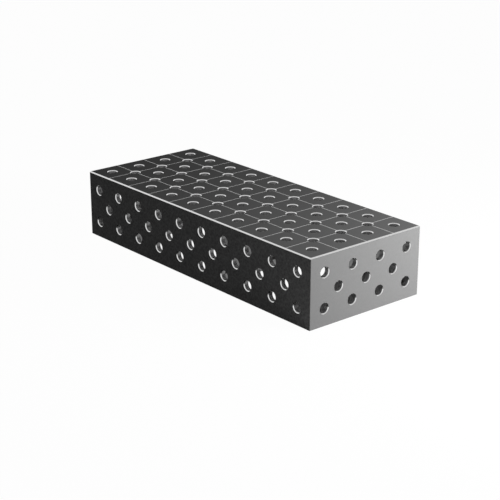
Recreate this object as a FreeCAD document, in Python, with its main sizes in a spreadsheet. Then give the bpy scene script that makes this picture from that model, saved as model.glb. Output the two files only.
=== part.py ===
import FreeCAD, Part
import os
import Sketcher
from FreeCAD import Placement, Rotation, Vector

# Connector block for a welding table: a welded steel box, open underneath, whose five
# working faces carry clamping holes on a diagonal grid. Its pieces are five outer plates,
# two thick foot plates that close the ends of the open underside, a cross rib on a foot
# bar, and the fillet welds that hold them together.
# Millimetres, +Z up, X along the length. The origin is the middle of the underside.

# Driving dimensions
SIZES = [
    ("length", 1000, "whole block, along X"),
    ("width", 400, "whole block, along Y"),
    ("height", 200, "whole block, along Z"),
    ("pitch", 100, "clamping hole to clamping hole in a row"),
    ("edge_margin", 40, "least distance from a hole's middle to the edge of its face"),
    ("hole_bore", 28, "clamping hole diameter"),
    ("mouth_bevel", 2, "45 degree bevel round each hole's outer mouth"),
    ("top_wall", 15, "thickness of the top plate"),
    ("side_wall", 15, "thickness of the front and rear side plates"),
    ("end_wall", 15, "thickness of the two end plates"),
    ("edge_bevel", 3, "bevel round the top face"),
    ("corner_bevel", 1, "bevel down the four upright corners"),
    ("foot_wall", 25, "thickness of the two foot plates"),
    ("foot_margin", 65, "foot plate, inwards past the middles of its inner holes"),
    ("rib_wall", 12, "thickness of the cross rib"),
    ("rib_pitches", 0.75, "cross rib, in hole pitches to the right of the middle"),
    ("rib_set_back", 25, "gap between the rib's ends and the side plates"),
    ("bar_width", 30, "foot bar under the cross rib, along X"),
    ("bar_height", 25, "foot bar under the cross rib, along Z"),
    ("weld_leg", 7, "leg of every fillet weld"),
]

# Formulas that several pieces share
INNER_LENGTH = "(Sizes.length - 2 * Sizes.end_wall)"
INNER_WIDTH = "(Sizes.width - 2 * Sizes.side_wall)"
WALL_HEIGHT = "(Sizes.height - Sizes.top_wall)"
RIB_PLACE = "(Sizes.rib_pitches * Sizes.pitch)"
RIB_LENGTH = f"({INNER_WIDTH} - 2 * Sizes.rib_set_back)"
RIB_HEIGHT = f"({WALL_HEIGHT} - Sizes.bar_height)"
COLUMNS = "(floor((Sizes.length - 2 * Sizes.edge_margin) / Sizes.pitch) + 1)"
ROWS = "(floor((Sizes.width - 2 * Sizes.edge_margin) / Sizes.pitch) + 1)"
TIERS = "(floor((Sizes.height - 2 * Sizes.edge_margin) / Sizes.pitch) + 1)"
OUTER_COLUMN = f"(({COLUMNS} - 1) * Sizes.pitch / 2)"
INNER_COLUMN = f"({OUTER_COLUMN} - Sizes.pitch / 2)"
FOOT_EDGE = f"({INNER_COLUMN} - Sizes.foot_margin)"
FOOT_REACH = f"({INNER_LENGTH} / 2 - {FOOT_EDGE})"
FOOT_MIDDLE = f"({FOOT_EDGE} + {FOOT_REACH} / 2)"

# How each plate is turned, from lying flat with its outer face up
FACE_UP = Rotation()
FACE_DOWN = Rotation(Vector(1, 0, 0), 180)
FACE_FRONT = Rotation(Vector(1, 0, 0), 90)
HALF_TURN = Rotation(Vector(0, 0, 1), 180)
FACE_REAR = HALF_TURN * FACE_FRONT
FACE_RIGHT = Rotation(Vector(0, 0, 1), 90) * FACE_FRONT
FACE_LEFT = Rotation(Vector(0, 0, 1), -90) * FACE_FRONT

# A pattern's spacing list with this in it takes every space from the pattern's offset
EVEN_SPACING = [-1.0]

COUNTERSINK_ANGLE = 90
# Two coordinates this near to each other are the same
SAME_PLACE = 1e-6

doc = FreeCAD.newDocument("connector_block")
sheet = doc.addObject("Spreadsheet::Sheet", "Sizes")
for row, (name, value, meaning) in enumerate(SIZES, start=1):
    sheet.set(f"A{row}", name)
    sheet.set(f"B{row}", str(value))
    sheet.set(f"C{row}", meaning)
    sheet.setAlias(f"B{row}", name)
doc.recompute()

pieces = []


def bind(thing, **formulas):
    """Tie properties to formulas on the sheet; a double underscore stands for a dot."""
    for name, formula in formulas.items():
        thing.setExpression(name.replace("__", "."), str(formula))


def place(thing, rotation=FACE_UP, x="0", y="0", z="0"):
    """Turn a piece and tie its place to the sheet."""
    thing.Placement = Placement(Vector(), rotation)
    bind(thing, Placement__Base__x=x, Placement__Base__y=y, Placement__Base__z=z)


def finished(thing, label):
    """Name a finished piece of the block."""
    thing.Label = label
    pieces.append(thing)
    return thing


def less_one(count):
    """The rows between the rows of a grid, with at least one."""
    return f"max(1; {count} - 1)"


def new_sketch(body, name, x="0", y="0"):
    """A sketch on a body's own XY plane, with its origin moved by x and y."""
    plane = next(p for p in body.Origin.OriginFeatures if p.Role == "XY_Plane")
    sketch = body.newObject("Sketcher::SketchObject", name)
    sketch.AttachmentSupport = [(plane, "")]
    sketch.MapMode = "FlatFace"
    bind(sketch, AttachmentOffset__Base__x=x, AttachmentOffset__Base__y=y)
    return sketch


def add_outline(sketch, corners):
    """A closed outline of straight lines through the corners, in their order."""
    for here, there in zip(corners, corners[1:] + corners[:1]):
        sketch.addGeometry(Part.LineSegment(Vector(*here), Vector(*there)))
    for side in range(len(corners)):
        sketch.addConstraint(Sketcher.Constraint("Coincident", side, 2, (side + 1) % len(corners), 1))


def add_size(sketch, name, formula, kind, *ends):
    """A named size between two points of a sketch, or across one circle."""
    index = sketch.addConstraint(Sketcher.Constraint(kind, *ends, 1))
    sketch.renameConstraint(index, name)
    sketch.setExpression(f"Constraints.{name}", formula)


def add_rectangle(sketch, wide, high):
    """A rectangle about the sketch's origin, tied to two formulas."""
    add_outline(sketch, [(-1, -1), (1, -1), (1, 1), (-1, 1)])
    for side, direction in enumerate(["Horizontal", "Vertical"] * 2):
        sketch.addConstraint(Sketcher.Constraint(direction, side))
    sketch.addConstraint(Sketcher.Constraint("Symmetric", 0, 1, 2, 1, -1, 1))
    add_size(sketch, "wide", wide, "DistanceX", 0, 1, 0, 2)
    add_size(sketch, "high", high, "DistanceY", 1, 1, 1, 2)


def add_diamond(sketch, reach):
    """A square on its corner about the sketch's origin; reach is from there to a corner."""
    add_outline(sketch, [(1, 0), (0, 1), (-1, 0), (0, -1)])
    sketch.addConstraint(Sketcher.Constraint("Symmetric", 0, 1, 2, 1, -1, 1))
    sketch.addConstraint(Sketcher.Constraint("Symmetric", 1, 1, 3, 1, -1, 1))
    sketch.addConstraint(Sketcher.Constraint("PointOnObject", 0, 1, -1))
    sketch.addConstraint(Sketcher.Constraint("PointOnObject", 1, 1, -2))
    add_size(sketch, "reach_x", reach, "DistanceX", -1, 1, 0, 1)
    add_size(sketch, "reach_y", reach, "DistanceY", -1, 1, 1, 1)


def add_pattern(body, feature, columns, rows, step="Sizes.pitch", row_step="Sizes.pitch"):
    """Repeat a feature along its sketch's own X and Y."""
    sketch = feature.Profile[0]
    pattern = body.newObject("PartDesign::LinearPattern", feature.Name + "_grid")
    pattern.Originals = [feature]
    pattern.Direction = (sketch, ["H_Axis"])
    pattern.Direction2 = (sketch, ["V_Axis"])
    pattern.Mode = "Spacing"
    pattern.Mode2 = "Spacing"
    pattern.Spacings2 = EVEN_SPACING
    bind(pattern, Offset=step, Offset2=row_step, Occurrences=columns, Occurrences2=rows)
    body.Tip = pattern


def bevel_edges(body, size, choose):
    """Bevel the edges of the body's solid that the choose function picks."""
    doc.recompute()
    base = body.Tip
    names = [f"Edge{i}" for i, edge in enumerate(base.Shape.Edges, start=1) if choose(edge)]
    bevel = body.newObject("PartDesign::Chamfer", "Bevel")
    bevel.Base = (base, names)
    bind(bevel, Size=size)
    body.Tip = bevel


def lies_along(edge, axis):
    """Whether an edge is straight and runs along a local axis, 0, 1 or 2 for X, Y or Z."""
    start, end = edge.Vertexes[0].Point, edge.Vertexes[-1].Point
    return sum(abs(end[i] - start[i]) for i in range(3) if i != axis) < SAME_PLACE


def on_outer_face(edge):
    """Whether an edge lies in the plate's outer face, at local z = 0."""
    return all(abs(vertex.Z) < SAME_PLACE for vertex in edge.Vertexes)


def new_plate(name, wide, high, wall):
    """A plate below its own XY plane, which is its outer face."""
    body = doc.addObject("PartDesign::Body", name)
    sketch = new_sketch(body, "Outline")
    add_rectangle(sketch, wide, high)
    pad = body.newObject("PartDesign::Pad", "Plate")
    pad.Profile = sketch
    pad.Reversed = True
    bind(pad, Length=wall)
    body.Tip = pad
    return finished(body, name)


def drill_grid(body, name, columns, rows, x="0", y="0"):
    """Clamping holes on a square grid centred on x, y, each with a bevelled mouth."""
    first_x = f"{x} - ({columns} - 1) * Sizes.pitch / 2"
    first_y = f"{y} - ({rows} - 1) * Sizes.pitch / 2"
    sketch = new_sketch(body, name + "_place", first_x, first_y)
    circle = sketch.addGeometry(Part.Circle(Vector(), Vector(0, 0, 1), 1))
    sketch.addConstraint(Sketcher.Constraint("Coincident", circle, 3, -1, 1))
    add_size(sketch, "bore", "Sizes.hole_bore", "Diameter", circle)
    doc.recompute()
    hole = body.newObject("PartDesign::Hole", name)
    hole.Profile = sketch
    hole.DepthType = "ThroughAll"
    hole.DrillPoint = "Flat"
    hole.HoleCutType = "Countersink"
    hole.HoleCutCountersinkAngle = COUNTERSINK_ANGLE
    bind(hole, Diameter="Sizes.hole_bore", HoleCutDiameter="Sizes.hole_bore + 2 * Sizes.mouth_bevel")
    add_pattern(body, hole, columns, rows)


def drill_face(body, columns, rows, y="0"):
    """The diagonal grid: a square grid, and another in the middles of its squares."""
    drill_grid(body, "Main_holes", columns, rows, y=y)
    drill_grid(body, "Middle_holes", less_one(columns), less_one(rows), y=y)


def cut_corners(body, wide, high):
    """Bevel a plate's four upright corners, straight through its rim's bevel."""
    sketch = new_sketch(body, "Corner_place", f"-{wide} / 2", f"-{high} / 2")
    add_diamond(sketch, "Sizes.corner_bevel")
    cut = body.newObject("PartDesign::Pocket", "Corner_cut")
    cut.Profile = sketch
    cut.Type = "ThroughAll"
    add_pattern(body, cut, "2", "2", wide, high)


def top_plate():
    """The working face, with its bevelled rim."""
    plate = new_plate("top_plate", "Sizes.length", "Sizes.width", "Sizes.top_wall")
    bevel_edges(plate, "Sizes.edge_bevel", on_outer_face)
    cut_corners(plate, "Sizes.length", "Sizes.width")
    drill_face(plate, COLUMNS, ROWS)
    place(plate, FACE_UP, z="Sizes.height")


def side_plate(name, rotation, y):
    """A long side plate, under the top plate, with the tiers of holes at half height."""
    plate = new_plate(name, "Sizes.length", WALL_HEIGHT, "Sizes.side_wall")
    bevel_edges(plate, "Sizes.corner_bevel", lambda edge: on_outer_face(edge) and lies_along(edge, 1))
    drill_face(plate, COLUMNS, TIERS, y="Sizes.top_wall / 2")
    place(plate, rotation, y=y, z=f"{WALL_HEIGHT} / 2")


def end_plate(name, rotation, x):
    """An end plate, between the side plates and under the top plate."""
    plate = new_plate(name, INNER_WIDTH, WALL_HEIGHT, "Sizes.end_wall")
    drill_face(plate, ROWS, TIERS, y="Sizes.top_wall / 2")
    place(plate, rotation, x=x, z=f"{WALL_HEIGHT} / 2")


def foot_plate(name, side):
    """A foot plate, with one column of main holes and one of middle holes.

    side is 1 for the right end and -1 for the left. Its grid is the top plate's.
    """
    plate = new_plate(name, FOOT_REACH, INNER_WIDTH, "Sizes.foot_wall")
    main_x = f"{side} * ({OUTER_COLUMN} - {FOOT_MIDDLE})"
    middle_x = f"{side} * ({INNER_COLUMN} - {FOOT_MIDDLE})"
    drill_grid(plate, "Main_holes", "1", ROWS, x=main_x)
    drill_grid(plate, "Middle_holes", "1", less_one(ROWS), x=middle_x)
    place(plate, FACE_DOWN, x=f"{side} * {FOOT_MIDDLE}")


def new_box(label, x_size, y_size, z_size):
    """A box with its middle at the origin in X and Y, and its foot at z = 0."""
    box = doc.addObject("Part::Box", label)
    bind(box, Length=x_size, Width=y_size, Height=z_size)
    place(box, x=f"-{x_size} / 2", y=f"-{y_size} / 2")
    return box


def cross_rib():
    """The rib under the top plate, with the foot bar that it stands on."""
    rib = new_box("cross_rib", "Sizes.rib_wall", RIB_LENGTH, RIB_HEIGHT)
    place(rib, x=f"{RIB_PLACE} - Sizes.rib_wall / 2", y=f"-{RIB_LENGTH} / 2", z="Sizes.bar_height")
    finished(rib, "cross_rib")
    bar = new_box("rib_foot_bar", "Sizes.bar_width", INNER_WIDTH, "Sizes.bar_height")
    place(bar, x=f"{RIB_PLACE} - Sizes.bar_width / 2", y=f"-{INNER_WIDTH} / 2")
    finished(bar, "rib_foot_bar")


def new_taper(label, foot, head):
    """A block one weld leg high that tapers from its foot to its head.

    foot and head each hold the low x, high x, low y and high y of that face.
    """
    taper = doc.addObject("Part::Wedge", label)
    bind(taper, Xmin=foot[0], Xmax=foot[1], Zmin=f"-({foot[3]})", Zmax=f"-({foot[2]})")
    bind(taper, X2min=head[0], X2max=head[1], Z2min=f"-({head[3]})", Z2max=f"-({head[2]})")
    bind(taper, Ymin="0", Ymax="Sizes.weld_leg")
    taper.Placement = Placement(Vector(), FACE_FRONT)
    return taper


def cut_away(label, base, tool):
    """One piece of a weld: the base without the tool."""
    cut = doc.addObject("Part::Cut", label)
    cut.Base = base
    cut.Tool = tool
    return finished(cut, label)


def half_sizes(x_size, y_size, grow="0"):
    """Low and high x and y of a rectangle about the origin, grown on each side."""
    x_edge = f"({x_size} / 2 + {grow})"
    y_edge = f"({y_size} / 2 + {grow})"
    return [f"-{x_edge}", x_edge, f"-{y_edge}", y_edge]


def top_seam_weld():
    """The bead round the inside of the box, in the angle under the top plate."""
    core = new_taper("Seam_core", half_sizes(INNER_LENGTH, INNER_WIDTH),
                     half_sizes(INNER_LENGTH, INNER_WIDTH, "-Sizes.weld_leg"))
    ring = new_box("Seam_ring", INNER_LENGTH, INNER_WIDTH, "Sizes.weld_leg")
    weld = cut_away("top_seam_weld", ring, core)
    place(weld, z=f"{WALL_HEIGHT} - Sizes.weld_leg")


def foot_weld(name, rotation, x):
    """The bead on a foot plate, along the end plate and both side plates."""
    leg = "Sizes.weld_leg"
    open_end = f"-{FOOT_REACH} / 2 - {leg}"
    plate_end = f"{FOOT_REACH} / 2"
    side = f"{INNER_WIDTH} / 2"
    foot = [open_end, f"{plate_end} - {leg}", f"-{side} + {leg}", f"{side} - {leg}"]
    head = [open_end, plate_end, f"-{side}", side]
    core = new_taper(name + "_core", foot, head)
    ring = new_box(name + "_ring", FOOT_REACH, INNER_WIDTH, leg)
    weld = cut_away(name, ring, core)
    place(weld, rotation, x=x, z="Sizes.foot_wall")


def rib_weld(name, rotation, z):
    """The bead round an edge of the cross rib, wide against the plate that it meets."""
    rib_edge = half_sizes("Sizes.rib_wall", RIB_LENGTH)
    bead = new_taper(name + "_bead", half_sizes("Sizes.rib_wall", RIB_LENGTH, "Sizes.weld_leg"), rib_edge)
    core = new_box(name + "_core", "Sizes.rib_wall", RIB_LENGTH, "Sizes.weld_leg")
    weld = cut_away(name, bead, core)
    place(weld, rotation, x=RIB_PLACE, z=z)


def bar_weld(name, rotation, y):
    """The bead round an end of the foot bar, on its two sides and its top."""
    half_bar = "Sizes.bar_width / 2"
    half_bead = f"({half_bar} + Sizes.weld_leg)"
    foot = [f"-{half_bead}", half_bead, "-Sizes.bar_height - Sizes.weld_leg", "0"]
    head = [f"-{half_bar}", half_bar, "-Sizes.bar_height", "0"]
    bead = new_taper(name + "_bead", foot, head)
    # The taper now grows along +Y from the side plate, with its low y sides as its top
    bead.Placement = Placement()
    core = new_box(name + "_core", "Sizes.bar_width", "2 * Sizes.weld_leg", "Sizes.bar_height")
    weld = cut_away(name, bead, core)
    place(weld, rotation, x=RIB_PLACE, y=y)


def corner_weld(name, angle, x, y):
    """The upright bead in an inner corner, from the foot plate's bead to the top one's."""
    body = doc.addObject("PartDesign::Body", name)
    sketch = new_sketch(body, "Section")
    add_outline(sketch, [(0, 0), (1, 0), (0, 1)])
    sketch.addConstraint(Sketcher.Constraint("Coincident", 0, 1, -1, 1))
    sketch.addConstraint(Sketcher.Constraint("Horizontal", 0))
    sketch.addConstraint(Sketcher.Constraint("Vertical", 2))
    sketch.addConstraint(Sketcher.Constraint("Equal", 0, 2))
    add_size(sketch, "leg", "Sizes.weld_leg", "DistanceX", 0, 1, 0, 2)
    pad = body.newObject("PartDesign::Pad", "Bead")
    pad.Profile = sketch
    bind(pad, Length=f"{WALL_HEIGHT} - Sizes.foot_wall - 2 * Sizes.weld_leg")
    body.Tip = pad
    place(body, Rotation(Vector(0, 0, 1), angle), x, y, "Sizes.foot_wall + Sizes.weld_leg")
    finished(body, name)


def all_pieces():
    """Build the whole block."""
    top_plate()
    side_plate("front_side_plate", FACE_FRONT, "-Sizes.width / 2")
    side_plate("rear_side_plate", FACE_REAR, "Sizes.width / 2")
    end_plate("left_end_plate", FACE_LEFT, "-Sizes.length / 2")
    end_plate("right_end_plate", FACE_RIGHT, "Sizes.length / 2")
    foot_plate("left_foot_plate", -1)
    foot_plate("right_foot_plate", 1)
    cross_rib()
    top_seam_weld()
    foot_weld("left_foot_weld", HALF_TURN, f"-{FOOT_MIDDLE}")
    foot_weld("right_foot_weld", FACE_UP, FOOT_MIDDLE)
    rib_weld("rib_top_weld", FACE_DOWN, WALL_HEIGHT)
    rib_weld("rib_foot_weld", FACE_UP, "Sizes.bar_height")
    bar_weld("bar_front_weld", FACE_UP, f"-{INNER_WIDTH} / 2")
    bar_weld("bar_rear_weld", HALF_TURN, f"{INNER_WIDTH} / 2")
    left, right = f"-{INNER_LENGTH} / 2", f"{INNER_LENGTH} / 2"
    front, rear = f"-{INNER_WIDTH} / 2", f"{INNER_WIDTH} / 2"
    corner_weld("front_left_corner_weld", 0, left, front)
    corner_weld("front_right_corner_weld", 90, right, front)
    corner_weld("rear_right_corner_weld", 180, right, rear)
    corner_weld("rear_left_corner_weld", 270, left, rear)


def check_and_write():
    """Stop at anything that failed, then write each piece to its own file."""
    doc.recompute()
    for thing in doc.Objects:
        if {"Invalid", "Error"} & set(thing.State):
            raise RuntimeError(f"{thing.Label} failed: {thing.State}")
    for piece in pieces:
        if piece.Shape.isNull() or not piece.Shape.isValid():
            raise RuntimeError(f"{piece.Label} has no valid shape")
    os.makedirs("parts", exist_ok=True)
    for piece in pieces:
        piece.Shape.exportStep(f"parts/{piece.Label}.step")
        print(f"{piece.Label}: {len(piece.Shape.Solids)} solid, {piece.Shape.Volume / 1000:.1f} cm3")


all_pieces()
check_and_write()
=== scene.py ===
from math import cos, radians, sin, sqrt

import bmesh
import bpy
from bpy.props import FloatProperty, FloatVectorProperty, PointerProperty
from mathutils import Matrix, Vector


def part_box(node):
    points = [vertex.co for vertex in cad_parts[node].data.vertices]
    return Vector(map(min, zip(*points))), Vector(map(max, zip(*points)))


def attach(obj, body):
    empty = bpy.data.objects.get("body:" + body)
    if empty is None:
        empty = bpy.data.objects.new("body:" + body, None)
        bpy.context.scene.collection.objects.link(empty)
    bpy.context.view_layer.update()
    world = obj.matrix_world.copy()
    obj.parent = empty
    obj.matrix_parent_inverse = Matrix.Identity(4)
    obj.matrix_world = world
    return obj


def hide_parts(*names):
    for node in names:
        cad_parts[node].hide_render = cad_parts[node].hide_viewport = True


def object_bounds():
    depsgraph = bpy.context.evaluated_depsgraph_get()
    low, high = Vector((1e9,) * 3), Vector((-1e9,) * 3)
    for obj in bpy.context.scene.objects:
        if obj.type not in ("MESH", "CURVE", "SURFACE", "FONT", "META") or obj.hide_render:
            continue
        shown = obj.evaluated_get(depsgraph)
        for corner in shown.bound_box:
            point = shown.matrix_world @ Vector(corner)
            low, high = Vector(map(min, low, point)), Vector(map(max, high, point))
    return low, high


bl_info = {
    "name": "Connector Block",
    "version": (1, 0, 0),
    "blender": (4, 5, 0),
    "location": "3D View > Sidebar > Connector Block",
    "description": "Finishes, weld beads and a studio for a perforated steel connector block",
    "category": "Object",
}

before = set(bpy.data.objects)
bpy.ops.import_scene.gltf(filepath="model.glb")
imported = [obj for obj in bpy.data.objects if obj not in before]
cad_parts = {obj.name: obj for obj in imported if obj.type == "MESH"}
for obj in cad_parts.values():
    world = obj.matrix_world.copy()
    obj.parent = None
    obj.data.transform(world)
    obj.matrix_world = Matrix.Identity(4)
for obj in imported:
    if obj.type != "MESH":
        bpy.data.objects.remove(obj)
size_after_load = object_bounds()

# The plates, with the way that each one's outer face looks
WORKING_PLATES = {
    "top_plate": (0, 0, 1),
    "front_side_plate": (0, -1, 0),
    "rear_side_plate": (0, 1, 0),
    "left_end_plate": (-1, 0, 0),
    "right_end_plate": (1, 0, 0),
    "left_foot_plate": (0, 0, -1),
    "right_foot_plate": (0, 0, -1),
}
SIDE_PLATES = ("front_side_plate", "rear_side_plate")
INNER_STEEL = ("cross_rib", "rib_foot_bar")

# The ways that faces look, and the side and end that meet in each inner corner
UP = Vector((0, 0, 1))
FRONT = Vector((0, -1, 0))
REAR = Vector((0, 1, 0))
LEFT = Vector((-1, 0, 0))
RIGHT = Vector((1, 0, 0))
CORNERS = {
    "front_left_corner": (FRONT, LEFT),
    "front_right_corner": (FRONT, RIGHT),
    "rear_right_corner": (REAR, RIGHT),
    "rear_left_corner": (REAR, LEFT),
}

# Half the block, and how near to its box a point is on its skin or on an upright corner's bevel
HALF_LENGTH = size_after_load[1].x
HALF_WIDTH = size_after_load[1].y
SKIN_DEPTH = 0.0005
CORNER_REACH = 0.0015
# How far a face leans is 0 on a hole's wall, 1 on the flat face, and between these on a bevel
LEAST_LEAN = 0.3
FLAT_LEAN = 0.99
# The skin's streaks run upright, and are finer than its patches
STREAK_STRETCH = (1, 1, 0.12)
STREAK_SHARE = 1 / 6
TONE_GAIN = 1.25
TONE_SHIFT = -0.75

# A bead's round face, and the sharpest angle that is still shaded smooth
ARC_STEPS = 48
CREASE = radians(35)
# A ripple rises, crests and falls over these shares of its length, and has most of its swell early
RISE_SHARE = 0.35
CREST_SHARE = 0.4
FALL_SHARE = 0.25
RISE_NOTCH = 1 / 6
# A point is at a ripple's middle if it is this near, as a share of the leg
NEAR_MIDDLE = 1 / 20
# Two ripples' rings are one if they are this near, as a share of a ripple
NEAR_RING = 1 / 50
# A run's end is rounded in two steps, as shares of the crater
CRATER_STEPS = (0.7, 0.3)
# The weld metal: soot in patches that shade and roughen it, and a fine grain
BEAD_PATCH = 0.02
BEAD_GRAIN = 0.0008
SOOT_SHADE = 0.7
SOOT_LIGHT = 1.35
SOOT_ROUGHNESS = 0.3
BEAD_SHINE = 0.5
GRAIN_DEPTH = BEAD_GRAIN / 4
GRAIN_STRENGTH = 0.3

# The studio's floor, whose painted shadow in reflections fades out from a share of its reach
WHITE = (1, 1, 1)
BLACK = (0, 0, 0)
FLOOR_SIZE = 60
SHADE_START = 1 / 3
# Its ceiling, by how far up a ray looks, from level at 0 to overhead at 1
CEILING_EDGE = 0.4
CEILING_MIDDLE = 0.85
# Its lamp and camera
LAMP_PLACE = (1.45, 0.75, 0.6)
LAMP_AIM = (0, 0, 0.1)
LAMP_WIDTH = 1.0
LAMP_HEIGHT = 0.8
SENSOR_WIDTH = 36

# Sockets of a Mix node that blends colours
MIX_SHARE = 0
MIX_FIRST = 6
MIX_SECOND = 7
MIX_COLOUR = 2


class PlateFinish(bpy.types.PropertyGroup):
    """Hardened plates: dark faces, bare bevels and a scribed grid on top."""

    ground_tint: FloatVectorProperty(
        name="Ground tint", description="Colour of the top and ends, ground and then hardened",
        subtype="COLOR", size=3, min=0, max=1, default=(0.115, 0.115, 0.115))
    # The long sides' darker tint is painted shade; their stronger mottle is the skin's own.
    shaded_side_tint: FloatVectorProperty(
        name="Shaded side tint", description="Colour of the long sides, darker and mottled",
        subtype="COLOR", size=3, min=0, max=1, default=(0.095, 0.095, 0.095))
    ground_mottle: FloatProperty(
        name="Ground mottle", description="How much the tone of the top and ends varies",
        subtype="FACTOR", min=0, max=1, default=0.06)
    rolled_mottle: FloatProperty(
        name="Rolled mottle", description="How much the tone of the long sides varies",
        subtype="FACTOR", min=0, max=1, default=0.6)
    mottle_size: FloatProperty(
        name="Mottle size", description="Size of the skin's patches", subtype="DISTANCE",
        default=0.006)
    bare_tint: FloatVectorProperty(
        name="Bare tint", description="Colour of the bevels and scribed lines, where the steel is bare",
        subtype="COLOR", size=3, min=0, max=1, default=(0.76, 0.76, 0.76))
    roughness: FloatProperty(
        name="Roughness", description="Roughness of the skin", subtype="FACTOR",
        min=0, max=1, default=0.46)
    bare_shine: FloatProperty(
        name="Bare shine", description="How metallic the bevels and scribed lines look",
        subtype="FACTOR", min=0, max=1, default=1.0)
    bare_roughness: FloatProperty(
        name="Bare roughness", description="Roughness of the bevels and scribed lines",
        subtype="FACTOR", min=0, max=1, default=0.2)
    inner_tint: FloatVectorProperty(
        name="Inner tint", description="Colour of the hole walls and of the inside",
        subtype="COLOR", size=3, min=0, max=1, default=(0.43, 0.43, 0.43))
    inner_shine: FloatProperty(
        name="Inner shine", description="How metallic the hole walls and the inside look",
        subtype="FACTOR", min=0, max=1, default=1.0)
    inner_roughness: FloatProperty(
        name="Inner roughness", description="Roughness of the hole walls and of the inside",
        subtype="FACTOR", min=0, max=1, default=0.45)
    sheen: FloatProperty(
        name="Sheen", description="Strength of the skin's reflections", subtype="FACTOR",
        min=0, max=1, default=0.0)
    line_width: FloatProperty(
        name="Line width", description="Width of a scribed grid line", subtype="DISTANCE",
        default=0.002)
    line_share: FloatProperty(
        name="Line strength", description="How bare a scribed line is", subtype="FACTOR",
        min=0, max=1, default=0.66)
    line_pitch: FloatProperty(
        name="Line pitch", description="From one scribed line to the next", subtype="DISTANCE",
        default=0.1)


class BeadShape(bpy.types.PropertyGroup):
    """Weld beads as they were laid, one ripple over the next."""

    tint: FloatVectorProperty(
        name="Bead tint", description="Colour of the weld metal",
        subtype="COLOR", size=3, min=0, max=1, default=(0.16, 0.155, 0.15))
    roughness: FloatProperty(
        name="Roughness", description="Roughness of the weld metal", subtype="FACTOR",
        min=0, max=1, default=0.42)
    ripple: FloatProperty(
        name="Ripple length", description="From one ripple of the bead to the next",
        subtype="DISTANCE", default=0.0035)
    fullness: FloatProperty(
        name="Fullness", description="Depth of the bead at its middle, as a share of its leg",
        subtype="FACTOR", min=0.72, max=0.95, default=0.8)
    notch: FloatProperty(
        name="Notch", description="How far the bead draws in between ripples, as a share of its leg",
        subtype="FACTOR", min=0, max=0.5, default=0.09)
    bow: FloatProperty(
        name="Bow", description="How far a ripple's middle runs ahead of its edges",
        subtype="DISTANCE", default=0.0014)
    crater: FloatProperty(
        name="Crater", description="Length of the rounded end of a run", subtype="DISTANCE",
        default=0.0012)


class StudioSetup(bpy.types.PropertyGroup):
    """A pale floor and a soft lamp."""

    floor_tint: FloatVectorProperty(
        name="Floor tint", description="Colour of the floor",
        subtype="COLOR", size=3, min=0, max=1, default=(0.8, 0.8, 0.8))
    floor_glow: FloatProperty(
        name="Floor white", description="How far the floor shows as the white background",
        subtype="FACTOR", min=0, max=1, default=0.98)
    floor_bounce: FloatProperty(
        name="Floor bounce", description="Light that the floor sends up, also under the block",
        subtype="FACTOR", min=0, max=1, default=0.3)
    # The floor's painted shadow in reflections: how far it reaches beside the block, and how deep it is
    # under the block
    shade_reach: FloatProperty(
        name="Shade reach", description="How far out the floor mirrors dark, beside the block",
        subtype="DISTANCE", default=0.12)
    under_shadow: FloatProperty(
        name="Dimness underneath", description="How much darker the floor mirrors, under the block",
        subtype="FACTOR", min=0, max=1, default=0.5)
    ceiling_dim: FloatProperty(
        name="Ceiling dimness", description="How much darker the ceiling mirrors than the walls",
        subtype="FACTOR", min=0, max=1, default=0.25)
    fill: FloatProperty(
        name="Fill level", description="Light from all round", min=0, default=0.045)
    key_power: FloatProperty(
        name="Key lamp", description="Lamp off the right end", subtype="POWER", unit="POWER",
        default=62)


class PhotoView(bpy.types.PropertyGroup):
    """The camera at the photograph's view."""

    azimuth: FloatProperty(
        name="Azimuth", description="Camera's turn round the block, from the front towards the right",
        subtype="ANGLE", default=radians(50.5))
    elevation: FloatProperty(
        name="Elevation", description="Camera's height above the horizon",
        subtype="ANGLE", default=radians(20.468))
    distance: FloatProperty(
        name="Distance", description="From the camera to the point that it aims at",
        subtype="DISTANCE", default=4.0357)
    aim: FloatVectorProperty(
        name="Aim", description="The point that the camera aims at",
        subtype="TRANSLATION", size=3, default=(0.0104, -0.038, 0.0136))
    roll: FloatProperty(
        name="Roll", description="Camera's turn about its own line of sight",
        subtype="ANGLE", default=radians(-0.145))
    lens: FloatProperty(
        name="Lens", description="Focal length on a 36 mm sensor, in millimetres", default=100.1)
    shift: FloatVectorProperty(
        name="Shift", description="Lens shift, right and up, as a share of the frame",
        size=2, default=(0.0256, 0.0226))


class Value:
    """A shader socket that adds Math nodes when it is used in an expression."""

    def __init__(self, finish, socket):
        self.finish = finish
        self.socket = socket

    def math(self, operation, *others):
        """A Math node on this value and others."""
        return self.finish.math(operation, self, *others)

    def __add__(self, other):
        return self.math("ADD", other)

    def __mul__(self, other):
        return self.math("MULTIPLY", other)

    def __sub__(self, other):
        return self.math("SUBTRACT", other)

    def __rsub__(self, other):
        return self.finish.math("SUBTRACT", other, self)

    def __gt__(self, other):
        return self.math("GREATER_THAN", other)

    def __lt__(self, other):
        return self.math("LESS_THAN", other)

    def __abs__(self):
        return self.math("ABSOLUTE")

    __radd__ = __add__
    __rmul__ = __mul__


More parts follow.
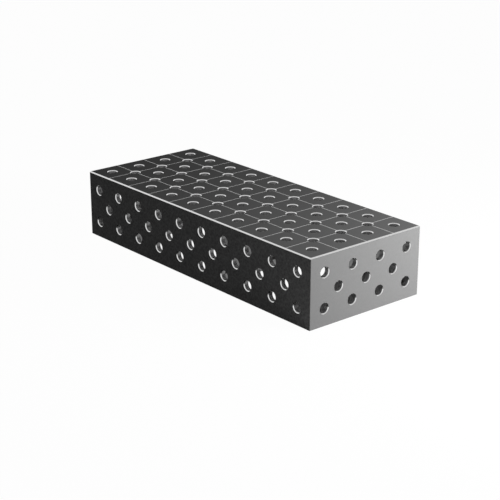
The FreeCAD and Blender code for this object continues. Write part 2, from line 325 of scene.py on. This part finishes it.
class Finish:
    """The node tree of a material or a world, with short ways to add and join its nodes."""

    def __init__(self, owner):
        owner.use_nodes = True
        self.owner = owner
        self.tree = owner.node_tree
        self.tree.nodes.clear()

    def node(self, kind, settings, sockets, out=0):
        """Add a node, set it up, feed its sockets by name or number, and give back an output."""
        added = self.tree.nodes.new(kind)
        for name, value in settings.items():
            setattr(added, name, value)
        for key, value in sockets.items():
            if isinstance(value, Value):
                self.tree.links.new(value.socket, added.inputs[key])
            else:
                added.inputs[key].default_value = value
        return Value(self, added.outputs[out]) if added.outputs else None

    def math(self, operation, *values):
        """A Math node on values and numbers."""
        return self.node("ShaderNodeMath", {"operation": operation}, dict(enumerate(values)))

    def vector_math(self, operation, first, second, out="Vector"):
        """A Vector Math node on two vectors."""
        return self.node("ShaderNodeVectorMath", {"operation": operation}, {0: first, 1: second}, out)

    def mix(self, share, first, second):
        """Blend two colours by a share from 0 to 1."""
        sockets = {MIX_SHARE: share, MIX_FIRST: colour(first), MIX_SECOND: colour(second)}
        return self.node("ShaderNodeMix", {"data_type": "RGBA"}, sockets, MIX_COLOUR)

    def place(self):
        """Where a point is on the block."""
        return self.node("ShaderNodeTexCoord", {}, {}, "Object")

    def noise(self, place, size, detail=4.0, roughness=0.6):
        """Soft noise whose patches have a given size."""
        sockets = {"Vector": place, "Scale": 1 / size, "Detail": detail, "Roughness": roughness}
        return self.node("ShaderNodeTexNoise", {}, sockets)

    def split(self, vector):
        """The x, y and z of a vector."""
        return self.outputs("ShaderNodeSeparateXYZ", {0: vector}, "XYZ")

    def outputs(self, kind, sockets, names):
        """Several outputs of one node."""
        added = self.node(kind, {}, sockets).socket.node
        return [Value(self, added.outputs[name]) for name in names]

    def surface(self, sockets):
        """End the material in one Principled shader."""
        return self.end(self.node("ShaderNodeBsdfPrincipled", {}, sockets))

    def end(self, shader):
        """Join a shader to the output, and give back the material."""
        self.node("ShaderNodeOutputMaterial", {}, {0: shader})
        return self.owner


def colour(value):
    """A plain colour with its alpha, and a link as it is."""
    return value if isinstance(value, Value) else (*value, 1)


def new_finish(name):
    """A new material, ready for its nodes."""
    return Finish(bpy.data.materials.new(name))


def dress(names, material):
    """Give CAD nodes a material in place of what they have."""
    for name in names:
        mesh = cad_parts[name].data
        mesh.materials.clear()
        mesh.materials.append(material)


def skin_tone(finish, look, place):
    """The hardened skin: soft patches with fine upright streaks in them."""
    patches = finish.noise(place, look.mottle_size)
    stretched = finish.node("ShaderNodeMapping", {}, {"Vector": place, "Scale": STREAK_STRETCH})
    streaks = finish.noise(stretched, look.mottle_size * STREAK_SHARE, detail=3.0)
    return (patches + streaks).math("MULTIPLY_ADD", TONE_GAIN, TONE_SHIFT)


def outer_skin(finish, place):
    """1 on the block's outer faces, and 0 on hole walls and inside."""
    size = size_after_load[1] - size_after_load[0]
    middle = (size_after_load[0] + size_after_load[1]) / 2
    centred = finish.vector_math("SUBTRACT", place, middle)
    beyond = [abs(part) > reach / 2 - SKIN_DEPTH for part, reach in zip(finish.split(centred), size)]
    return beyond[0].math("MAXIMUM", beyond[1]).math("MAXIMUM", beyond[2])


def scribed_lines(finish, look, place):
    """1 on the lines of the grid that is scribed into the top face, and 0 elsewhere."""
    x, y, _ = finish.split(place)
    from_x_line = x.math("PINGPONG", look.line_pitch / 2)
    from_y_line = y.math("PINGPONG", look.line_pitch / 2)
    return from_x_line.math("MINIMUM", from_y_line) < look.line_width / 2


def mottled(finish, tone, tint, mottle):
    """A tint that varies with the tone."""
    darkest = tuple(channel * (1 - mottle) for channel in tint)
    lightest = tuple(channel * (1 + mottle) for channel in tint)
    return finish.mix(tone, darkest, lightest)


def plate_material(name, facing, look):
    """The finish of one plate; facing is the way that its outer face looks."""
    finish = new_finish(name + "_skin")
    place = finish.place()
    tone = skin_tone(finish, look, place)
    along, across, _ = finish.split(place)
    on_long_side = abs(across) > HALF_WIDTH - SKIN_DEPTH
    # Painted shade: the long sides take a darker tint than the top and ends.
    face = finish.mix(on_long_side, mottled(finish, tone, look.ground_tint, look.ground_mottle),
                      mottled(finish, tone, look.shaded_side_tint, look.rolled_mottle))
    normal = finish.node("ShaderNodeNewGeometry", {}, {}, "True Normal")
    leaning = finish.vector_math("DOT_PRODUCT", normal, facing, "Value")
    outside = outer_skin(finish, place)
    bare = (leaning > LEAST_LEAN) * (leaning < FLAT_LEAN)
    if name == "top_plate":
        lines = (leaning > FLAT_LEAN) * scribed_lines(finish, look, place)
        bare = bare.math("MAXIMUM", lines * look.line_share)
    elif name in SIDE_PLATES:
        # Their upright corners were hardened too, so only the holes' bevels are bare.
        upright_corner = abs(along) > HALF_LENGTH - CORNER_REACH
        bare = bare * (1 - upright_corner)
    inside = (1 - outside) * (1 - bare)
    skin = finish.mix(inside, face, mottled(finish, tone, look.inner_tint, look.ground_mottle))
    return finish.surface({
        "Base Color": finish.mix(bare, skin, look.bare_tint),
        "Metallic": bare * look.bare_shine + inside * look.inner_shine,
        "Roughness": (look.roughness + bare * (look.bare_roughness - look.roughness)
                      + inside * (look.inner_roughness - look.roughness)),
        "Specular IOR Level": look.sheen,
    })


class BLOCK_OT_finish_plates(bpy.types.Operator):
    """Give the outer plates and foot plates their hardened skin, bare bevels and scribed grid"""

    bl_idname = "block.finish_plates"
    bl_label = "Finish Plates"

    def execute(self, context):
        for name, facing in WORKING_PLATES.items():
            dress([name], plate_material(name, facing, context.scene.plate_finish))
        return {"FINISHED"}


class BLOCK_OT_finish_inner_steel(bpy.types.Operator):
    """Give the cross rib and its foot bar a plain hardened skin"""

    bl_idname = "block.finish_inner_steel"
    bl_label = "Finish Inner Steel"

    def execute(self, context):
        look = context.scene.plate_finish
        finish = new_finish("inner_steel")
        tone = skin_tone(finish, look, finish.place())
        dress(INNER_STEEL, finish.surface({
            "Base Color": mottled(finish, tone, look.inner_tint, look.ground_mottle),
            "Metallic": look.inner_shine,
            "Roughness": look.inner_roughness,
        }))
        return {"FINISHED"}


def pick_faces(piece, wanted):
    """Select the faces of a piece in edit mode that pass a test, and nothing else."""
    bpy.ops.mesh.select_all(action="DESELECT")
    shape = bmesh.from_edit_mesh(piece.data)
    for face in shape.faces:
        face.select_set(wanted(face))
    bmesh.update_edit_mesh(piece.data)


def pick_points(piece, wanted):
    """Select the points of a piece in edit mode that pass a test, and nothing else."""
    bpy.ops.mesh.select_all(action="DESELECT")
    shape = bmesh.from_edit_mesh(piece.data)
    for point in shape.verts:
        point.select_set(wanted(point))
    bmesh.update_edit_mesh(piece.data)


def is_end(face):
    """True for the end of a bead, which has more sides than the strips between its rings."""
    return len(face.verts) > 4


def model_ripple(leg, look):
    """One ripple: its corner runs along X from the origin, with a leg along Y and one along Z."""
    # The bead's face is an arc through both toes that bulges out to the throat.
    throat = look.fullness * leg
    inset = (leg ** 2 - throat ** 2) / (2 * (sqrt(2) * throat - leg))
    bpy.ops.object.select_all(action="DESELECT")
    bpy.ops.mesh.primitive_circle_add(
        vertices=ARC_STEPS, radius=sqrt(2) * inset + throat, fill_type="NGON",
        location=(0, -inset, -inset), rotation=(0, radians(90), 0))
    ripple = bpy.context.object
    bpy.ops.object.transform_apply(location=True, rotation=True, scale=True)
    bpy.ops.object.mode_set(mode="EDIT")
    for face_way in (REAR, UP):
        bpy.ops.mesh.select_all(action="SELECT")
        bpy.ops.mesh.bisect(plane_co=(0, 0, 0), plane_no=face_way, clear_inner=True)
    # The middle of the face runs ahead of its toes.
    crest = Vector((throat, throat)) / sqrt(2)
    pick_points(ripple, lambda point: (point.co.yz - crest).length < leg * NEAR_MIDDLE)
    bpy.ops.transform.translate(
        value=(look.bow, 0, 0), use_proportional_edit=True, proportional_edit_falloff="SMOOTH",
        proportional_size=leg)
    # Each ripple swells from a notch to its crest and falls back to the next notch.
    bpy.ops.mesh.select_all(action="SELECT")
    size = 1 - look.notch
    bpy.ops.transform.resize(value=(1, size, size), center_override=(0, 0, 0))
    swells = (
        (RISE_SHARE, 1 - look.notch * RISE_NOTCH),
        (CREST_SHARE, 1),
        (FALL_SHARE, 1 - look.notch),
    )
    for share, swell in swells:
        bpy.ops.mesh.extrude_region_move(TRANSFORM_OT_translate={"value": (share * look.ripple, 0, 0)})
        bpy.ops.transform.resize(value=(1, swell / size, swell / size), center_override=(0, 0, 0))
        size = swell
    pick_faces(ripple, is_end)
    bpy.ops.mesh.delete(type="ONLY_FACE")
    bpy.ops.object.mode_set(mode="OBJECT")
    return ripple


def lay_run(ripple, look, start, finish, first_face, second_face):
    """A run of ripples from start to finish, in the angle between faces that look these two ways."""
    bpy.ops.object.select_all(action="DESELECT")
    ripple.select_set(True)
    bpy.context.view_layer.objects.active = ripple
    bpy.ops.object.duplicate()
    run = bpy.context.object
    bpy.ops.object.modifier_add(type="ARRAY")
    array = run.modifiers[0]
    array.count = round((finish - start).length / look.ripple)
    array.use_relative_offset = False
    array.use_constant_offset = True
    array.constant_offset_displace = (look.ripple, 0, 0)
    array.use_merge_vertices = True
    array.merge_threshold = look.ripple * NEAR_RING
    bpy.ops.object.modifier_apply(modifier=array.name)
    bpy.ops.object.mode_set(mode="EDIT")
    bpy.ops.mesh.select_all(action="SELECT")
    bpy.ops.mesh.fill_holes(sides=0)
    bpy.ops.mesh.select_all(action="SELECT")
    bpy.ops.mesh.normals_make_consistent(inside=False)
    for share in CRATER_STEPS:
        pick_faces(run, is_end)
        bpy.ops.mesh.inset(thickness=look.crater, depth=look.crater * share)
    bpy.ops.object.mode_set(mode="OBJECT")
    reach = [point.co.x for point in run.data.vertices]
    along = finish - start
    stretch = along.length / (max(reach) - min(reach))
    along.normalize()
    if along.cross(first_face).dot(second_face) < 0:
        first_face, second_face = second_face, first_face
    turn = Matrix((along, first_face, second_face)).transposed().to_4x4()
    run.matrix_world = (Matrix.Translation(start) @ turn @ Matrix.Diagonal((stretch, 1, 1, 1))
                        @ Matrix.Translation((-min(reach), 0, 0)))
    bpy.ops.object.transform_apply(location=True, rotation=True, scale=True)
    return run


def side_run(low, high, side, way, level, level_face, spare=0):
    """The run along one side of a rectangle; way is 1 on its outside and -1 on its inside."""
    half = (high - low) / 2
    middle = (low + high) / 2 + side * abs(side.dot(half))
    middle.z = level
    along = side.cross(UP)
    reach = along * (abs(along.dot(half)) + spare)
    return middle - reach, middle + reach, side * way, level_face


def ring_runs(node, way, level_face, leg, spare=0):
    """The four runs round the rib or round the inside of the block."""
    low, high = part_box(node)
    level = high.z if level_face.z < 0 else low.z
    outside = Vector((leg, leg, 0)) * max(way, 0)
    return [side_run(low + outside, high - outside, side, way, level, level_face, spare)
            for side in (FRONT, RIGHT, REAR, LEFT)]


def foot_runs(node, end):
    """The runs on a foot plate, along both side plates and the end plate."""
    low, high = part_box(node)
    return [side_run(low, high, side, -1, low.z, UP) for side in (FRONT, end, REAR)]


def bar_runs(node, side, leg):
    """The runs up both sides of the foot bar and over its top, where it meets a side plate."""
    low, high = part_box(node)
    plate = low.y if side is FRONT else high.y
    top = high.z - leg
    left_foot = Vector((low.x + leg, plate, low.z))
    right_foot = Vector((high.x - leg, plate, low.z))
    upright = UP * (top - low.z)
    lap = UP * leg / 2
    spare = RIGHT * leg / 2
    return [
        (left_foot, left_foot + upright + lap, LEFT, -side),
        (right_foot, right_foot + upright + lap, RIGHT, -side),
        (left_foot + upright - spare, right_foot + upright + spare, UP, -side),
    ]


def corner_runs(node, side, end, leg):
    """The upright run in an inner corner."""
    low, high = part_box(node)
    foot = Vector((low.x if end is LEFT else high.x, low.y if side is FRONT else high.y, low.z - leg / 2))
    return [(foot, foot + UP * (high.z - low.z + leg), -side, -end)]


class BLOCK_OT_lay_beads(bpy.types.Operator):
    """Lay the rippled weld beads that hold the plates, the rib and its foot bar together"""

    bl_idname = "block.lay_beads"
    bl_label = "Lay Weld Beads"

    def execute(self, context):
        look = context.scene.bead_shape
        low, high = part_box("front_left_corner_weld")
        leg = high.x - low.x
        ripple = model_ripple(leg, look)
        runs = {
            "top_seam": ring_runs("top_seam_weld", -1, -UP, leg),
            "left_foot": foot_runs("left_foot_weld", LEFT),
            "right_foot": foot_runs("right_foot_weld", RIGHT),
            "rib_top": ring_runs("rib_top_weld", 1, -UP, leg, leg / 2),
            "rib_foot": ring_runs("rib_foot_weld", 1, UP, leg, leg / 2),
            "bar_front": bar_runs("bar_front_weld", FRONT, leg),
            "bar_rear": bar_runs("bar_rear_weld", REAR, leg),
        }
        for name, (side, end) in CORNERS.items():
            runs[name] = corner_runs(name + "_weld", side, end, leg)
        metal = bead_material(look)
        for name, parts in runs.items():
            laid = [lay_run(ripple, look, *part) for part in parts]
            bpy.ops.object.select_all(action="DESELECT")
            for part in laid:
                part.select_set(True)
            bpy.ops.object.join()
            bead = bpy.context.object
            bead.name = name + "_bead"
            bpy.ops.object.shade_smooth_by_angle(angle=CREASE)
            bead.data.materials.append(metal)
            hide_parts(name + "_weld")
            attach(bead, "root")
        bpy.data.objects.remove(ripple)
        return {"FINISHED"}


def bead_material(look):
    """Weld metal: grey, with a little soot, and a fine grain."""
    finish = new_finish("weld_metal")
    place = finish.place()
    soot = finish.noise(place, BEAD_PATCH)
    grain = finish.noise(place, BEAD_GRAIN)
    darker = [channel * SOOT_SHADE for channel in look.tint]
    paler = [channel * SOOT_LIGHT for channel in look.tint]
    bump = {"Strength": GRAIN_STRENGTH, "Distance": GRAIN_DEPTH, "Height": grain}
    return finish.surface({
        "Base Color": finish.mix(soot, darker, paler),
        "Metallic": BEAD_SHINE,
        "Roughness": look.roughness + (soot - 0.5) * SOOT_ROUGHNESS,
        "Normal": finish.node("ShaderNodeBump", {}, bump),
    })


def ray_kinds(finish):
    """1 for rays that see the background and 0 for light on the object, then 1 for mirrored rays."""
    kinds = ("Is Camera Ray", "Is Glossy Ray", "Is Transmission Ray")
    camera, glossy, through = finish.outputs("ShaderNodeLightPath", {}, kinds)
    return camera.math("MAXIMUM", glossy).math("MAXIMUM", through), glossy


def rise(finish, value, start, end):
    """A smooth step from 0 at start to 1 at end."""
    return finish.node("ShaderNodeMapRange", {"interpolation_type": "SMOOTHSTEP"},
                       {"Value": value, "From Min": start, "From Max": end})


def floor_material(studio):
    """White to the camera, with a painted shadow in reflections: darker under the block and dark beside
    it.
    """
    finish = new_finish("floor")
    seen, mirrored = ray_kinds(finish)
    x, y, _ = finish.split(finish.place())
    # Painted shadow: the floor's glow in mirrored rays is darkened beside the block and under it.
    from_block = (abs(x) - HALF_LENGTH).math("MAXIMUM", abs(y) - HALF_WIDTH)
    shade_start = studio.shade_reach * SHADE_START
    beside = (from_block > 0) * (1 - rise(finish, from_block, shade_start, studio.shade_reach))
    dark = mirrored * (beside + (from_block < 0) * studio.under_shadow)
    matt = finish.node("ShaderNodeBsdfDiffuse", {}, {"Color": colour(studio.floor_tint)})
    white = finish.node("ShaderNodeEmission", {}, {"Color": finish.mix(dark, WHITE, BLACK)})
    share = (seen * studio.floor_glow).math("MAXIMUM", studio.floor_bounce)
    return finish.end(finish.node("ShaderNodeMixShader", {}, {0: share, 1: matt, 2: white}))


def light_world(world, studio):
    """White to the camera, a little dimmer overhead in reflections, and a low fill on the object."""
    sky = Finish(world)
    seen, mirrored = ray_kinds(sky)
    way = sky.node("ShaderNodeTexCoord", {}, {}, "Generated")
    overhead = rise(sky, sky.split(way)[2], CEILING_EDGE, CEILING_MIDDLE)
    level = studio.fill + seen * (1 - studio.fill) * (1 - mirrored * overhead * studio.ceiling_dim)
    shade = sky.node("ShaderNodeBackground", {}, {"Color": colour(WHITE), "Strength": level})
    sky.node("ShaderNodeOutputWorld", {}, {0: shade})


def add_key_lamp(power):
    """The soft lamp off the right end, which isn't itself seen or mirrored."""
    bpy.ops.object.light_add(type="AREA", location=LAMP_PLACE)
    lamp = bpy.context.object
    lamp.name = "key_lamp"
    lamp.rotation_euler = (Vector(LAMP_AIM) - lamp.location).to_track_quat("-Z", "Y").to_euler()
    lamp.data.shape = "RECTANGLE"
    lamp.data.size = LAMP_WIDTH
    lamp.data.size_y = LAMP_HEIGHT
    lamp.data.energy = power
    lamp.visible_camera = False
    lamp.visible_glossy = False


class BLOCK_OT_build_studio(bpy.types.Operator):
    """Set up the pale floor, the white background and the soft lamp"""

    bl_idname = "block.build_studio"
    bl_label = "Build Studio"

    def execute(self, context):
        studio = context.scene.studio_setup
        bpy.ops.object.select_all(action="DESELECT")
        bpy.ops.mesh.primitive_plane_add(size=FLOOR_SIZE)
        floor = context.object
        floor.name = "floor"
        floor.data.materials.append(floor_material(studio))

        context.scene.world = bpy.data.worlds.new("studio")
        light_world(context.scene.world, studio)
        add_key_lamp(studio.key_power)
        return {"FINISHED"}


class BLOCK_OT_place_camera(bpy.types.Operator):
    """Put the camera at the photograph's view"""

    bl_idname = "block.place_camera"
    bl_label = "Place Camera"

    def execute(self, context):
        view = context.scene.photo_view
        away = Vector((
            sin(view.azimuth) * cos(view.elevation),
            -cos(view.azimuth) * cos(view.elevation),
            sin(view.elevation),
        ))
        bpy.ops.object.camera_add(location=Vector(view.aim) + away * view.distance)
        camera = context.object
        facing = (-away).to_track_quat("-Z", "Y").to_matrix()
        camera.rotation_euler = (facing @ Matrix.Rotation(view.roll, 3, "Z")).to_euler()
        camera.data.lens = view.lens
        camera.data.sensor_width = SENSOR_WIDTH
        camera.data.shift_x, camera.data.shift_y = view.shift
        context.scene.camera = camera
        context.scene.view_settings.view_transform = "Standard"
        return {"FINISHED"}


GROUPS = {
    "plate_finish": PlateFinish,
    "bead_shape": BeadShape,
    "studio_setup": StudioSetup,
    "photo_view": PhotoView,
}
STEPS = (
    BLOCK_OT_finish_plates,
    BLOCK_OT_finish_inner_steel,
    BLOCK_OT_lay_beads,
    BLOCK_OT_build_studio,
    BLOCK_OT_place_camera,
)


class BLOCK_PT_steps(bpy.types.Panel):
    """The block's steps and their settings, in the sidebar"""

    bl_idname = "BLOCK_PT_steps"
    bl_label = "Connector Block"
    bl_space_type = "VIEW_3D"
    bl_region_type = "UI"
    bl_category = "Connector Block"

    def draw(self, context):
        for step in STEPS:
            self.layout.operator(step.bl_idname)
        for name, group in GROUPS.items():
            box = self.layout.box()
            for prop in group.__annotations__:
                box.prop(getattr(context.scene, name), prop)


def register():
    for group in GROUPS.values():
        bpy.utils.register_class(group)
    for name, group in GROUPS.items():
        setattr(bpy.types.Scene, name, PointerProperty(type=group))
    for step in STEPS:
        bpy.utils.register_class(step)
    bpy.utils.register_class(BLOCK_PT_steps)


def unregister():
    bpy.utils.unregister_class(BLOCK_PT_steps)
    for step in reversed(STEPS):
        bpy.utils.unregister_class(step)
    for name in GROUPS:
        delattr(bpy.types.Scene, name)
    for group in reversed(GROUPS.values()):
        bpy.utils.unregister_class(group)


def main():
    register()
    bpy.ops.block.finish_plates()
    bpy.ops.block.finish_inner_steel()
    bpy.ops.block.lay_beads()
    bpy.ops.block.build_studio()
    bpy.ops.block.place_camera()


if __name__ == "__main__":
    main()
